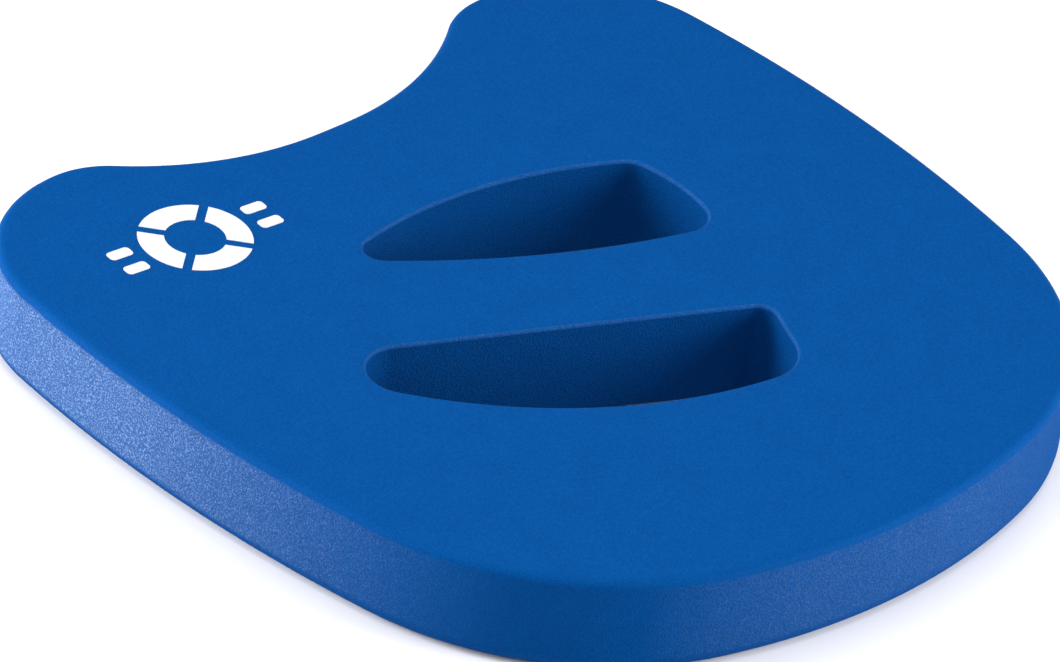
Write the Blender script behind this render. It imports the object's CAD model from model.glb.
import math
import bmesh
import bpy
from mathutils import Matrix, Vector, noise


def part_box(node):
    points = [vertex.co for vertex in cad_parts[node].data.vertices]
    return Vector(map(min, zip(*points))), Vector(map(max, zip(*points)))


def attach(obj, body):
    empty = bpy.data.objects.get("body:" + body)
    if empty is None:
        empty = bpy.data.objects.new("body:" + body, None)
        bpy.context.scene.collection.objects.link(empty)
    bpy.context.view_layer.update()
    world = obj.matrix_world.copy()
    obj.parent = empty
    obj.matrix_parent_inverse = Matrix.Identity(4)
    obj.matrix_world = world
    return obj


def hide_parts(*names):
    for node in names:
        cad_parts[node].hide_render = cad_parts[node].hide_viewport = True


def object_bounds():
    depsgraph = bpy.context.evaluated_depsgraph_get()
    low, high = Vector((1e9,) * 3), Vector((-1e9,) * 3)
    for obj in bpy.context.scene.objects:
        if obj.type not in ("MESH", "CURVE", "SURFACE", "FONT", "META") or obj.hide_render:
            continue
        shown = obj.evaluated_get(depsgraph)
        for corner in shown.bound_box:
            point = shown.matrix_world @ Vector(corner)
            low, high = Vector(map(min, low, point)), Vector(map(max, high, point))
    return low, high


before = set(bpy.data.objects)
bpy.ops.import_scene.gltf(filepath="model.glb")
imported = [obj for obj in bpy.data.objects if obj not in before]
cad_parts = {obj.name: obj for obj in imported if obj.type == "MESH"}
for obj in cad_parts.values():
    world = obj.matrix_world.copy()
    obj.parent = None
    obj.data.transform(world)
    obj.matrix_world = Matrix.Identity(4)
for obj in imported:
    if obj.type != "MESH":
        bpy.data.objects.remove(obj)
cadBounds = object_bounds()
mm = 0.001
print("frame loaded:", sorted(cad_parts))


def srgb(code):
    # hex colour to linear, for a shader socket
    channels = [int(code[i:i + 2], 16) / 255 for i in (1, 3, 5)]
    linear = [c / 12.92 if c <= 0.04045 else ((c + 0.055) / 1.055) ** 2.4 for c in channels]
    return (*linear, 1.0)


def addNode(tree, kind, settings=None, links=None, values=None):
    # one node, with its properties, its linked inputs and its plain input values
    node = tree.nodes.new(kind)
    for name, value in (settings or {}).items():
        setattr(node, name, value)
    for name, value in (values or {}).items():
        node.inputs[name].default_value = value
    for name, source in (links or {}).items():
        tree.links.new(source, node.inputs[name])
    return node


def newMaterial(name):
    # an empty node material and its tree
    material = bpy.data.materials.new(name)
    material.use_nodes = True
    material.node_tree.nodes.clear()
    return material, material.node_tree


# the board's outline, in mm: a bowed nose at +Y and two horns round a hollow at -Y
outline = {
    "noseRadius": 254,
    "shoulderRadius": 118,
    "sideRadius": 573,
    "widestFromTail": 117,
    "hornTipSpacing": 205,
    "hornTipRadius": 35.5,
    "biteDepth": 33,         # the hollow between the horns
    "biteRadius": 442,
    "biteCornerRadius": 121,
}

# the bar between the two hand slots, in mm and degrees
grip = {
    "width": 45,
    "angle": -23.8,
    "centre": (-1.6, -3.7),
}

# each corner of a slot: its sharp place, as distance along the bar and distance past the
# bar's edge, its rounding, and the bow radius of the side that follows it, anticlockwise
straight = 20000  # so large a bow that the side is straight to a fifth of a millimetre
slots = {
    "noseSlot": {
        "side": 1,
        "corners": [
            ((117.0, 0.0), 14.2, 171),
            ((-64.3, 38.0), 19.5, straight),
            ((-64.3, 0.0), 6.3, straight),
        ],
    },
    "tailSlot": {
        "side": -1,
        "corners": [
            ((75.8, -10.1), 7.3, 312),
            ((-63.3, -5.7), 12.0, 69),
            ((-47.3, -50.5), 9.0, 172),
        ],
    },
}

joinWithin = {"mirror": 0.02, "ends": 0.1}  # mm, points of a loop this near become one

low, high = cadBounds
noseY = high.y / mm
tailY = low.y / mm
halfWidth = high.x / mm
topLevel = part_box("upper_foam_sheet")[1].z / mm
midLevel = topLevel / 2


def circlesMeet(centreA, radiusA, centreB, radiusB, side):
    # side is 1 left of the way from A to B, and -1 right of it
    span = centreB - centreA
    along = (radiusA ** 2 - radiusB ** 2 + span.length ** 2) / (2 * span.length)
    across = math.sqrt(radiusA ** 2 - along ** 2)
    unit = span.normalized()
    return centreA + unit * along + Vector((-unit.y, unit.x)) * (side * across)


def pointOn(centre, radius, towards):
    # where the circle meets the line from its centre towards another point
    return centre + (towards - centre).normalized() * radius


def outlineArcs():
    # the +X half from nose to tail hollow: (centre, radius, start, end, hollow)
    o = outline
    nose = Vector((0, noseY - o["noseRadius"]))
    side = Vector((halfWidth - o["sideRadius"], tailY + o["widestFromTail"]))
    shoulder = circlesMeet(nose, o["noseRadius"] - o["shoulderRadius"],
                           side, o["sideRadius"] - o["shoulderRadius"], -1)
    hornTip = Vector((o["hornTipSpacing"] / 2, tailY))
    reach = hornTip - side
    hornRadius = (o["sideRadius"] ** 2 - reach.length_squared) / (2 * (reach.y + o["sideRadius"]))
    horn = hornTip + Vector((0, hornRadius))
    innerHorn = hornTip + Vector((0, o["hornTipRadius"]))
    bite = Vector((0, tailY + o["biteDepth"] - o["biteRadius"]))
    biteCorner = circlesMeet(bite, o["biteRadius"] - o["biteCornerRadius"],
                             innerHorn, o["biteCornerRadius"] + o["hornTipRadius"], 1)
    marks = [
        Vector((0, noseY)),
        pointOn(nose, o["noseRadius"], shoulder),
        pointOn(side, o["sideRadius"], shoulder),
        pointOn(side, o["sideRadius"], horn),
        hornTip,
        pointOn(innerHorn, o["hornTipRadius"], biteCorner),
        pointOn(bite, o["biteRadius"], biteCorner),
        Vector((0, tailY + o["biteDepth"])),
    ]
    turns = [(nose, o["noseRadius"], False), (shoulder, o["shoulderRadius"], False),
             (side, o["sideRadius"], False), (horn, hornRadius, False),
             (innerHorn, o["hornTipRadius"], False),
             (biteCorner, o["biteCornerRadius"], True), (bite, o["biteRadius"], True)]
    return [(c, r, a, b, hollow) for (c, r, hollow), a, b in zip(turns, marks, marks[1:])]


def slotArcs(slot):
    # rounding, side, rounding, side..., each (centre, radius, start, end, hollow)
    corners = slot["corners"]
    barEdge = slot["side"] * grip["width"] / 2
    places = [Vector((along, barEdge + past)) for (along, past), rounding, bow in corners]
    bows = []
    for start, end, corner in zip(places, places[1:] + places[:1], corners):
        chord = end - start
        inwards = Vector((-chord.y, chord.x)).normalized()
        depth = math.sqrt(corner[2] ** 2 - chord.length_squared / 4)
        bows.append(((start + end) / 2 + inwards * depth, corner[2]))
    roundings = []
    for before, after, place, corner in zip(bows[-1:] + bows[:-1], bows, places, corners):
        r = corner[1]
        found = [circlesMeet(before[0], before[1] - r, after[0], after[1] - r, s) for s in (1, -1)]
        centre = min(found, key=lambda p: (p - place).length)
        start = pointOn(before[0], before[1], centre)
        end = pointOn(after[0], after[1], centre)
        roundings.append((centre, r, start, end))
    arcs = []
    for this, following, bow in zip(roundings, roundings[1:] + roundings[:1], bows):
        arcs.append(this)
        arcs.append((bow[0], bow[1], this[3], following[2]))
    turn = Matrix.Rotation(math.radians(grip["angle"]), 2)
    move = Vector(grip["centre"])
    return [(turn @ c + move, r, turn @ a + move, turn @ b + move, True) for c, r, a, b in arcs]


def newEdges(bm, known):
    # the edges made since the known vertices were listed, in the mesh's own order
    return [e for e in bm.edges if e.verts[0] not in known]


def drawLoop(bm, back, arcs, level, spacing, mirrored):
    # spins a vertex round every arc; the back layer keeps which way the wall steps back
    known = set(bm.verts)
    first = bm.verts.new((arcs[0][2] * mm).to_3d() + Vector((0, 0, level * mm)))
    done = set(known)
    last = first
    for centre, radius, start, end, hollow in arcs:
        a = start - centre
        b = end - centre
        angle = math.atan2(a.x * b.y - a.y * b.x, a.dot(b))
        steps = max(2, round(abs(angle) * radius / spacing))
        spun = bmesh.ops.spin(bm, geom=[last], cent=(*(centre * mm), level * mm),
                              axis=(0, 0, 1), angle=angle, steps=steps)
        last = spun["geom_last"][0]
        for v in bm.verts:
            if v not in done:
                away = (v.co.xy - centre * mm).normalized().to_3d()
                v[back] = away if hollow else -away
                done.add(v)
    if mirrored:
        half = [v for v in bm.verts if v not in known]
        bmesh.ops.mirror(bm, geom=half + newEdges(bm, known), matrix=Matrix(),
                         merge_dist=joinWithin["mirror"] * mm, axis="X")
        for v in bm.verts:
            if v not in known and v.co.x < 0:
                v[back] = Vector((-v[back].x, v[back].y, 0))
    else:
        bmesh.ops.remove_doubles(bm, verts=[first, last], dist=joinWithin["ends"] * mm)
    return newEdges(bm, known)


# the two foam sheets, in mm
foam = {
    "upper_foam": {"edgeRadius": 3.6, "side": 1},
    "lower_foam": {"edgeRadius": 6.0, "side": -1},
    "rimRadius": 1.6,        # the slots' rims
    "edgeSteps": 9,
    "rimSteps": 5,
    "spacing": 1.0,          # between wall vertices, along and up the wall
    "skinStart": 4.5,        # how soon the moulded skin takes over on a rounding
    "seamGap": 0.008,        # half the gap that shows between the sheets at the wall
    "seamLip": 0.03,         # bevel of the cut edge beside that gap
    "glueSetback": 0.55,     # from the wall in to where the face drops to the cement
    "glueLevel": 0.1,        # half the cement's thickness
    "glueBand": 0.3,         # flat ring inside that drop
    "capBand": 1.5,          # flat ring inside the rounded edge
    "sandWave": 0.16,        # slow unevenness left by the sanding belt
    "sandWaveSize": 11.0,
    "sandWaveMean": 0.6,     # its mean depth, as a share of it
    "sandPick": 0.07,        # torn cells, as far as the mesh can carry them
    "sandPickSize": 1.7,
    "sandPickMean": 0.5,
    "slotCalm": 0.6,         # share of the sanding marks that the punched slots lack
    "dustFrom": 112.0,       # Y where the dust begins; the sides towards the tail are dustiest
    "dustFull": -50.0,
    "dustCurve": 1.5,
    "noseDust": 0.2,         # and a little on the nose, growing between these two Ys
    "noseFrom": 140.0,
    "noseTo": 160.0,
    "fineRows": 5,           # close rows under the rounding, where the sanding stops
    "fineStep": 0.35,
    "groove": 0.55,          # a shallow step where the sanding drum met the skin
    "grooveDrop": 0.7,       # how far under the rounding it runs
    "grooveHalfWidth": 0.6,
    "rimDust": 0.13,         # slot rims, paled by handling
}


def wallProfile(radius, steps, thickness):
    # rows of (setback from the wall, distance from the glue line, how cut the surface is)
    f = foam
    rows = [(f["glueSetback"] + f["glueBand"], f["glueLevel"], 0.0),
            (f["glueSetback"], f["glueLevel"], 0.0),
            (f["glueSetback"] - f["seamLip"], f["seamGap"], 1.0),
            (f["seamLip"], f["seamGap"], 1.0),
            (0.0, f["seamGap"] + f["seamLip"], 1.0),
            (0.0, f["seamGap"] + 2 * f["seamLip"], 1.0)]
    bottom = f["seamGap"] + 2 * f["seamLip"]
    top = thickness - radius
    fine = top - f["fineRows"] * f["fineStep"]
    count = round((fine - bottom) / f["spacing"])
    for i in range(1, count + 1):
        rows.append((0.0, bottom + (fine - bottom) * i / count, 1.0))
    for i in range(1, f["fineRows"] + 1):
        rows.append((0.0, fine + f["fineStep"] * i, 1.0))
    for i in range(1, steps + 1):
        turn = math.pi / 2 * i / steps
        cut = max(0.0, 1 - f["skinStart"] * i / steps)
        rows.append((radius * (1 - math.cos(turn)), top + radius * math.sin(turn), cut))
    rows.append((radius + f["capBand"], thickness, 0.0))
    return rows


def dustAt(y):
    # how much torn, pale foam the sanding drum left at this place on the outer wall
    f = foam
    share = min(1.0, max(0.0, (f["dustFrom"] - y) / (f["dustFrom"] - f["dustFull"])))
    nose = min(1.0, max(0.0, (y - f["noseFrom"]) / (f["noseTo"] - f["noseFrom"])))
    return share ** f["dustCurve"] + f["noseDust"] * nose


def buildSheet(name):
    # one loop per wall at the glue line, its rows stacked up to the face, then the two faces
    settings = foam[name]
    side = settings["side"]
    bm = bmesh.new()
    cutLayer = bm.verts.layers.float.new("cutFace")
    slotLayer = bm.verts.layers.float.new("slotFace")
    dustLayer = bm.verts.layers.float.new("dustFace")
    back = bm.verts.layers.float_vector.new("back")
    walls = [{"arcs": outlineArcs(), "isOutline": True,
              "radius": settings["edgeRadius"], "steps": foam["edgeSteps"]}]
    for slot in slots.values():
        walls.append({"arcs": slotArcs(slot), "isOutline": False,
                      "radius": foam["rimRadius"], "steps": foam["rimSteps"]})
    for wall in walls:
        wall["edges"] = drawLoop(bm, back, wall["arcs"], midLevel, foam["spacing"],
                                 wall["isOutline"])
        for v in {v for e in wall["edges"] for v in e.verts}:
            v[slotLayer] = 0.0 if wall["isOutline"] else 1.0
    borders = {"glue": [], "face": []}
    for wall in walls:
        edges = wall["edges"]
        verts = {v for e in edges for v in e.verts}
        borders["glue"] += edges
        lastSetback = 0.0
        lastHeight = 0.0
        for index, (setback, height, cut) in enumerate(
                wallProfile(wall["radius"], wall["steps"], midLevel)):
            if index:
                made = bmesh.ops.extrude_edge_only(bm, edges=edges)["geom"]
                edges = [g for g in made if isinstance(g, bmesh.types.BMEdge)]
                verts = [g for g in made if isinstance(g, bmesh.types.BMVert)]
            rise = Vector((0, 0, side * (height - lastHeight) * mm))
            onRim = 0 < setback < wall["radius"] / 2 and cut < 1
            for v in verts:
                v.co += v[back] * ((setback - lastSetback) * mm) + rise
                v[cutLayer] = cut
                if wall["isOutline"]:
                    v[dustLayer] = cut * dustAt(v.co.y / mm)
                else:
                    v[dustLayer] = foam["rimDust"] if onRim else 0.0
            lastSetback = setback
            lastHeight = height
        borders["face"] += edges
    for edges in borders.values():
        bmesh.ops.triangle_fill(bm, use_beauty=True, edges=edges)
    bmesh.ops.recalc_face_normals(bm, faces=bm.faces)
    grooveLevel = topLevel - settings["edgeRadius"] - foam["grooveDrop"]
    weather(bm, cutLayer, slotLayer, dustLayer, back, grooveLevel)
    for face in bm.faces:
        face.smooth = True
    mesh = bpy.data.meshes.new(name)
    bm.to_mesh(mesh)
    bm.free()
    mesh.attributes.remove(mesh.attributes["back"])
    piece = bpy.data.objects.new(name, mesh)
    bpy.context.scene.collection.objects.link(piece)
    print(name, len(mesh.vertices), "vertices", len(mesh.polygons), "faces")
    return piece


def weather(bm, cutLayer, slotLayer, dustLayer, back, grooveLevel):
    # sanding marks on the cut walls, in the mesh itself
    f = foam
    for v in bm.verts:
        if v[cutLayer] > 0:
            wave = noise.noise(v.co / (f["sandWaveSize"] * mm))
            pick = noise.noise(v.co / (f["sandPickSize"] * mm))
            depth = (f["sandWave"] * (f["sandWaveMean"] - wave)
                     + f["sandPick"] * (f["sandPickMean"] - pick))
            share = v[cutLayer] * (1 - f["slotCalm"] * v[slotLayer])
            near = max(0.0, 1 - abs(v.co.z / mm - grooveLevel) / f["grooveHalfWidth"])
            groove = f["groove"] * near * v[dustLayer] * (1 - v[slotLayer])
            v.co += v[back] * ((depth * share + groove) * mm)


evaLook = {
    "deep": "#003872",       # the foam's blue in its cell walls
    "body": "#00407e",
    "bright": "#014889",
    "slotTint": "#002654",   # walls that the punch burnished, inside the hand slots
    "dust": "#a4bfe8",       # torn cell edges, which scatter white light
    "grain": 0.55,           # mm, a moulded cell on the skin; real ones are 0.2, too fine to show
    "cell": 0.55,            # mm, a torn cell on a sanded wall; real ones are 0.3 to 0.5
    "tornScale": 1.25,       # the torn walls' coarser noise, in cells
    "mottle": 14.0,          # mm, slow change of tint
    "mottleShare": 0.15,     # how far it moves the grain along the three blues
    "deepUpTo": 0.35,        # where the three blues lie along the grain's noise
    "bodyAt": 0.57,
    "brightFrom": 0.8,
    "rimFrom": 0.48,         # torn noise above this is a pale rim
    "rimFull": 0.78,
    "rimDust": 0.66,         # how pale the rims of torn cells are
    "hollowDust": 0.085,     # and the hollows between them
    "burnish": 0.18,
    "cellRelief": 0.6,       # torn cells' rounded hollows, beside the torn noise
    "skinRelief": 0.07,      # the skin's grain, beside the torn cells
    "relief": 0.4,           # mm
    "reliefStrength": 0.95,
    "skinRoughness": 0.62,
    "cutRoughness": 0.72,
    "gloss": 0.025,          # foam has hardly any
    "ior": 1.48,
}


def evaFoam(name, seed):
    # closed-cell EVA sheet: matt moulded skin, and sanded walls where torn cells catch the light
    look = evaLook
    material, tree = newMaterial(name)
    coords = addNode(tree, "ShaderNodeTexCoord")
    # each sheet takes another part of the pattern
    place = addNode(tree, "ShaderNodeMapping", links={"Vector": coords.outputs["Object"]},
                    values={"Location": (seed, seed * 0.7, seed * 1.3)})
    spot = place.outputs["Vector"]
    cut = addNode(tree, "ShaderNodeAttribute", {"attribute_name": "cutFace"}).outputs["Fac"]
    dust = addNode(tree, "ShaderNodeAttribute", {"attribute_name": "dustFace"}).outputs["Fac"]
    slot = addNode(tree, "ShaderNodeAttribute", {"attribute_name": "slotFace"}).outputs["Fac"]

    grain = addNode(tree, "ShaderNodeTexNoise", links={"Vector": spot},
                    values={"Scale": 1 / (look["grain"] * mm), "Detail": 2.0, "Roughness": 0.6})
    mottle = addNode(tree, "ShaderNodeTexNoise", links={"Vector": spot},
                     values={"Scale": 1 / (look["mottle"] * mm), "Detail": 3.0})
    cells = addNode(tree, "ShaderNodeTexVoronoi", {"feature": "F1"}, {"Vector": spot},
                    {"Scale": 1 / (look["cell"] * mm), "Randomness": 1.0})
    torn = addNode(tree, "ShaderNodeTexNoise", links={"Vector": spot},
                   values={"Scale": 1 / (look["cell"] * look["tornScale"] * mm),
                           "Detail": 3.0, "Roughness": 0.7})

    # skin colour: fine grain and slow mottle between two blues
    skinMix = addNode(tree, "ShaderNodeMath", {"operation": "MULTIPLY_ADD"},
                      {0: mottle.outputs["Fac"], 2: grain.outputs["Fac"]},
                      {1: look["mottleShare"]})
    skin = addNode(tree, "ShaderNodeValToRGB", links={"Fac": skinMix.outputs["Value"]})
    skin.color_ramp.elements[0].position = look["deepUpTo"]
    skin.color_ramp.elements[0].color = srgb(look["deep"])
    skin.color_ramp.elements[1].position = look["brightFrom"]
    skin.color_ramp.elements[1].color = srgb(look["bright"])
    middle = skin.color_ramp.elements.new(look["bodyAt"])
    middle.color = srgb(look["body"])

    # cut colour: pale rims of torn cells over the same blue
    rim = addNode(tree, "ShaderNodeMapRange", links={"Value": torn.outputs["Fac"]},
                  values={"From Min": look["rimFrom"], "From Max": look["rimFull"]})
    haze = addNode(tree, "ShaderNodeMath", {"operation": "MULTIPLY_ADD"},
                   {0: rim.outputs["Result"]}, {1: look["rimDust"], 2: look["hollowDust"]})
    dusted = addNode(tree, "ShaderNodeMath", {"operation": "MULTIPLY"},
                     {0: haze.outputs["Value"], 1: dust})
    colour = addNode(tree, "ShaderNodeMix", {"data_type": "RGBA"},
                     {"Factor": dusted.outputs["Value"]})
    # a colour Mix node's sockets A and B are inputs 6 and 7, and its result is output 2
    tree.links.new(skin.outputs["Color"], colour.inputs[6])
    colour.inputs[7].default_value = srgb(look["dust"])

    # the slots' cut walls are darker, pressed smooth by the punch
    slotCut = addNode(tree, "ShaderNodeMath", {"operation": "MULTIPLY"}, {0: slot, 1: cut})
    burnish = addNode(tree, "ShaderNodeMath", {"operation": "MULTIPLY"},
                      {0: slotCut.outputs["Value"]}, {1: look["burnish"]})
    shown = addNode(tree, "ShaderNodeMix", {"data_type": "RGBA"},
                    {"Factor": burnish.outputs["Value"]})
    tree.links.new(colour.outputs[2], shown.inputs[6])
    shown.inputs[7].default_value = srgb(look["slotTint"])

    # relief: shallow grain on the skin, torn cells on the cut walls
    cellHeight = addNode(tree, "ShaderNodeMath", {"operation": "MULTIPLY_ADD"},
                         {0: cells.outputs["Distance"], 2: torn.outputs["Fac"]},
                         {1: look["cellRelief"]})
    cutHeight = addNode(tree, "ShaderNodeMath", {"operation": "MULTIPLY"},
                        {0: cellHeight.outputs["Value"], 1: cut})
    height = addNode(tree, "ShaderNodeMath", {"operation": "MULTIPLY_ADD"},
                     {0: grain.outputs["Fac"], 2: cutHeight.outputs["Value"]},
                     {1: look["skinRelief"]})
    bump = addNode(tree, "ShaderNodeBump", links={"Height": height.outputs["Value"]},
                   values={"Strength": look["reliefStrength"], "Distance": look["relief"] * mm})

    rough = addNode(tree, "ShaderNodeMapRange", links={"Value": cut},
                    values={"To Min": look["skinRoughness"], "To Max": look["cutRoughness"]})
    shader = addNode(tree, "ShaderNodeBsdfPrincipled",
                     links={"Base Color": shown.outputs[2], "Normal": bump.outputs["Normal"],
                            "Roughness": rough.outputs["Result"]},
                     values={"IOR": look["ior"], "Specular IOR Level": look["gloss"]})
    addNode(tree, "ShaderNodeOutputMaterial", links={"Surface": shader.outputs["BSDF"]})
    return material


inkLook = {
    "white": "#c8c8cd",
    "thin": "#aab3c8",       # where the ink lies thin over a cell
    "thinUpTo": 0.25,        # grain noise below this is thin ink, above the next is full
    "whiteFrom": 0.42,
    "grain": 0.8,            # mm, the foam's grain that shows through the print
    "relief": 0.1,           # mm
    "reliefStrength": 0.4,
    "roughness": 0.5,
    "gloss": 0.3,
}


def screenInk(name):
    # white screen-print ink on foam: opaque, satin, with the foam's grain pressed through
    look = inkLook
    material, tree = newMaterial(name)
    coords = addNode(tree, "ShaderNodeTexCoord")
    grain = addNode(tree, "ShaderNodeTexNoise", links={"Vector": coords.outputs["Object"]},
                    values={"Scale": 1 / (look["grain"] * mm), "Detail": 3.0, "Roughness": 0.6})
    cover = addNode(tree, "ShaderNodeValToRGB", links={"Fac": grain.outputs["Fac"]})
    cover.color_ramp.elements[0].position = look["thinUpTo"]
    cover.color_ramp.elements[0].color = srgb(look["thin"])
    cover.color_ramp.elements[1].position = look["whiteFrom"]
    cover.color_ramp.elements[1].color = srgb(look["white"])
    bump = addNode(tree, "ShaderNodeBump", links={"Height": grain.outputs["Fac"]},
                   values={"Strength": look["reliefStrength"], "Distance": look["relief"] * mm})
    shader = addNode(tree, "ShaderNodeBsdfPrincipled",
                     links={"Base Color": cover.outputs["Color"], "Normal": bump.outputs["Normal"]},
                     values={"Roughness": look["roughness"], "Specular IOR Level": look["gloss"]})
    addNode(tree, "ShaderNodeOutputMaterial", links={"Surface": shader.outputs["BSDF"]})
    return material


cementLook = {
    "cured": "#0a2a55",
    "thick": "#06183a",
    "blob": 2.5,             # mm, brush streaks and blobs
    "relief": 0.1,           # mm
    "reliefStrength": 0.5,
    "roughness": 0.35,
}


def contactCement(name):
    # cured contact cement: dark, slightly glossy, brushed on unevenly
    look = cementLook
    material, tree = newMaterial(name)
    coords = addNode(tree, "ShaderNodeTexCoord")
    blobs = addNode(tree, "ShaderNodeTexNoise", links={"Vector": coords.outputs["Object"]},
                    values={"Scale": 1 / (look["blob"] * mm), "Detail": 3.0})
    tint = addNode(tree, "ShaderNodeValToRGB", links={"Fac": blobs.outputs["Fac"]})
    tint.color_ramp.elements[0].color = srgb(look["thick"])
    tint.color_ramp.elements[1].color = srgb(look["cured"])
    bump = addNode(tree, "ShaderNodeBump", links={"Height": blobs.outputs["Fac"]},
                   values={"Strength": look["reliefStrength"], "Distance": look["relief"] * mm})
    shader = addNode(tree, "ShaderNodeBsdfPrincipled",
                     links={"Base Color": tint.outputs["Color"], "Normal": bump.outputs["Normal"]},
                     values={"Roughness": look["roughness"]})
    addNode(tree, "ShaderNodeOutputMaterial", links={"Surface": shader.outputs["BSDF"]})
    return material


# new meshes stand for the two foam sheets; the ink and the cement keep their frame solids
for name, node, seed in (("upper_foam", "upper_foam_sheet", 0.1),
                         ("lower_foam", "lower_foam_sheet", 0.47)):
    piece = buildSheet(name)
    piece.data.materials.append(evaFoam(name + "Eva", seed))
    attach(piece, "root")
    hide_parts(node)

whiteInk = screenInk("whiteScreenInk")
cement = contactCement("curedContactCement")
for node, material, slotName in (("emblem_ring", whiteInk, "white_ink"),
                                 ("emblem_bars", whiteInk, "white_ink"),
                                 ("bond_film", cement, "contact_cement")):
    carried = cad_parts[node]
    carried.data.materials.clear()
    carried.data.materials.append(material)
print("pieces and materials made")

# metres and watts; each softbox is a disk that faces the board
studio = {
    "floorColour": "#e8e8ec",
    "floorShade": "#e5e5e9",
    "floorMottle": 1 / 3,    # slow change of the paper's tint
    "floorRoughness": 0.7,
    "floorGloss": 0.2,
    "floorSize": 30.0,
    "floorDrop": 0.00005,    # keeps the floor and the underside from sharing a plane
    "worldColour": "#ffffff",
    "worldStrength": 0.62,
    "aim": (0, 0, 0.02),
    "top": {"place": (0.15, 0.0, 1.6), "size": 1.5, "power": 12.0},
    "left": {"place": (0.95, -0.85, 0.42), "size": 0.7, "power": 26.0},
    "right": {"place": (-0.75, 1.1, 0.5), "size": 0.8, "power": 23.0},
}


def makeFloor():
    # a wide sheet of pale matt paper, very faintly uneven in tint
    material, tree = newMaterial("paleSweep")
    coords = addNode(tree, "ShaderNodeTexCoord")
    paper = addNode(tree, "ShaderNodeTexNoise", links={"Vector": coords.outputs["Object"]},
                    values={"Scale": 1 / studio["floorMottle"], "Detail": 2.0})
    tint = addNode(tree, "ShaderNodeValToRGB", links={"Fac": paper.outputs["Fac"]})
    tint.color_ramp.elements[0].color = srgb(studio["floorShade"])
    tint.color_ramp.elements[1].color = srgb(studio["floorColour"])
    shader = addNode(tree, "ShaderNodeBsdfPrincipled", links={"Base Color": tint.outputs["Color"]},
                     values={"Roughness": studio["floorRoughness"],
                             "Specular IOR Level": studio["floorGloss"]})
    addNode(tree, "ShaderNodeOutputMaterial", links={"Surface": shader.outputs["BSDF"]})
    bm = bmesh.new()
    bmesh.ops.create_grid(bm, x_segments=1, y_segments=1, size=studio["floorSize"] / 2)
    bmesh.ops.translate(bm, verts=bm.verts, vec=(0, 0, -studio["floorDrop"]))
    mesh = bpy.data.meshes.new("floor")
    bm.to_mesh(mesh)
    bm.free()
    floor = bpy.data.objects.new("floor", mesh)
    floor.data.materials.append(material)
    bpy.context.scene.collection.objects.link(floor)


def softbox(name):
    settings = studio[name]
    light = bpy.data.lights.new(name + "Softbox", "AREA")
    light.shape = "DISK"
    light.size = settings["size"]
    light.energy = settings["power"]
    lamp = bpy.data.objects.new(name + "Softbox", light)
    lamp.location = settings["place"]
    aim = Vector(studio["aim"]) - lamp.location
    lamp.rotation_euler = aim.to_track_quat("-Z", "Y").to_euler()
    bpy.context.scene.collection.objects.link(lamp)


makeFloor()
for name in ("top", "left", "right"):
    softbox(name)
world = bpy.data.worlds.new("studio")
world.use_nodes = True
background = world.node_tree.nodes["Background"]
background.inputs["Color"].default_value = srgb(studio["worldColour"])
background.inputs["Strength"].default_value = studio["worldStrength"]
bpy.context.scene.world = world
bpy.context.scene.view_settings.view_transform = "Standard"

# angles in degrees, places in metres, lens and sensor in mm
view = {
    "azimuth": 132.9,
    "elevation": 33.87,
    "roll": 7.02,
    "target": (0.0310, 0.0070, 0.038),
    "distance": 3.468,
    "lens": 339.6,
    "sensor": 36,
    "farthest": 100,
}


def makeCamera():
    azimuth = math.radians(view["azimuth"])
    elevation = math.radians(view["elevation"])
    roll = math.radians(view["roll"])
    back = Vector((math.sin(azimuth) * math.cos(elevation),
                   -math.cos(azimuth) * math.cos(elevation), math.sin(elevation)))
    right = Vector((0, 0, 1)).cross(back).normalized()
    up = back.cross(right)
    turnedRight = right * math.cos(roll) + up * math.sin(roll)
    turnedUp = up * math.cos(roll) - right * math.sin(roll)
    data = bpy.data.cameras.new("camera")
    data.sensor_width = view["sensor"]
    data.lens = view["lens"]
    data.clip_end = view["farthest"]
    camera = bpy.data.objects.new("camera", data)
    axes = Matrix((turnedRight, turnedUp, back)).transposed().to_4x4()
    camera.matrix_world = Matrix.Translation(Vector(view["target"]) + back * view["distance"]) @ axes
    bpy.context.scene.collection.objects.link(camera)
    bpy.context.scene.camera = camera


makeCamera()
print("studio and camera made")
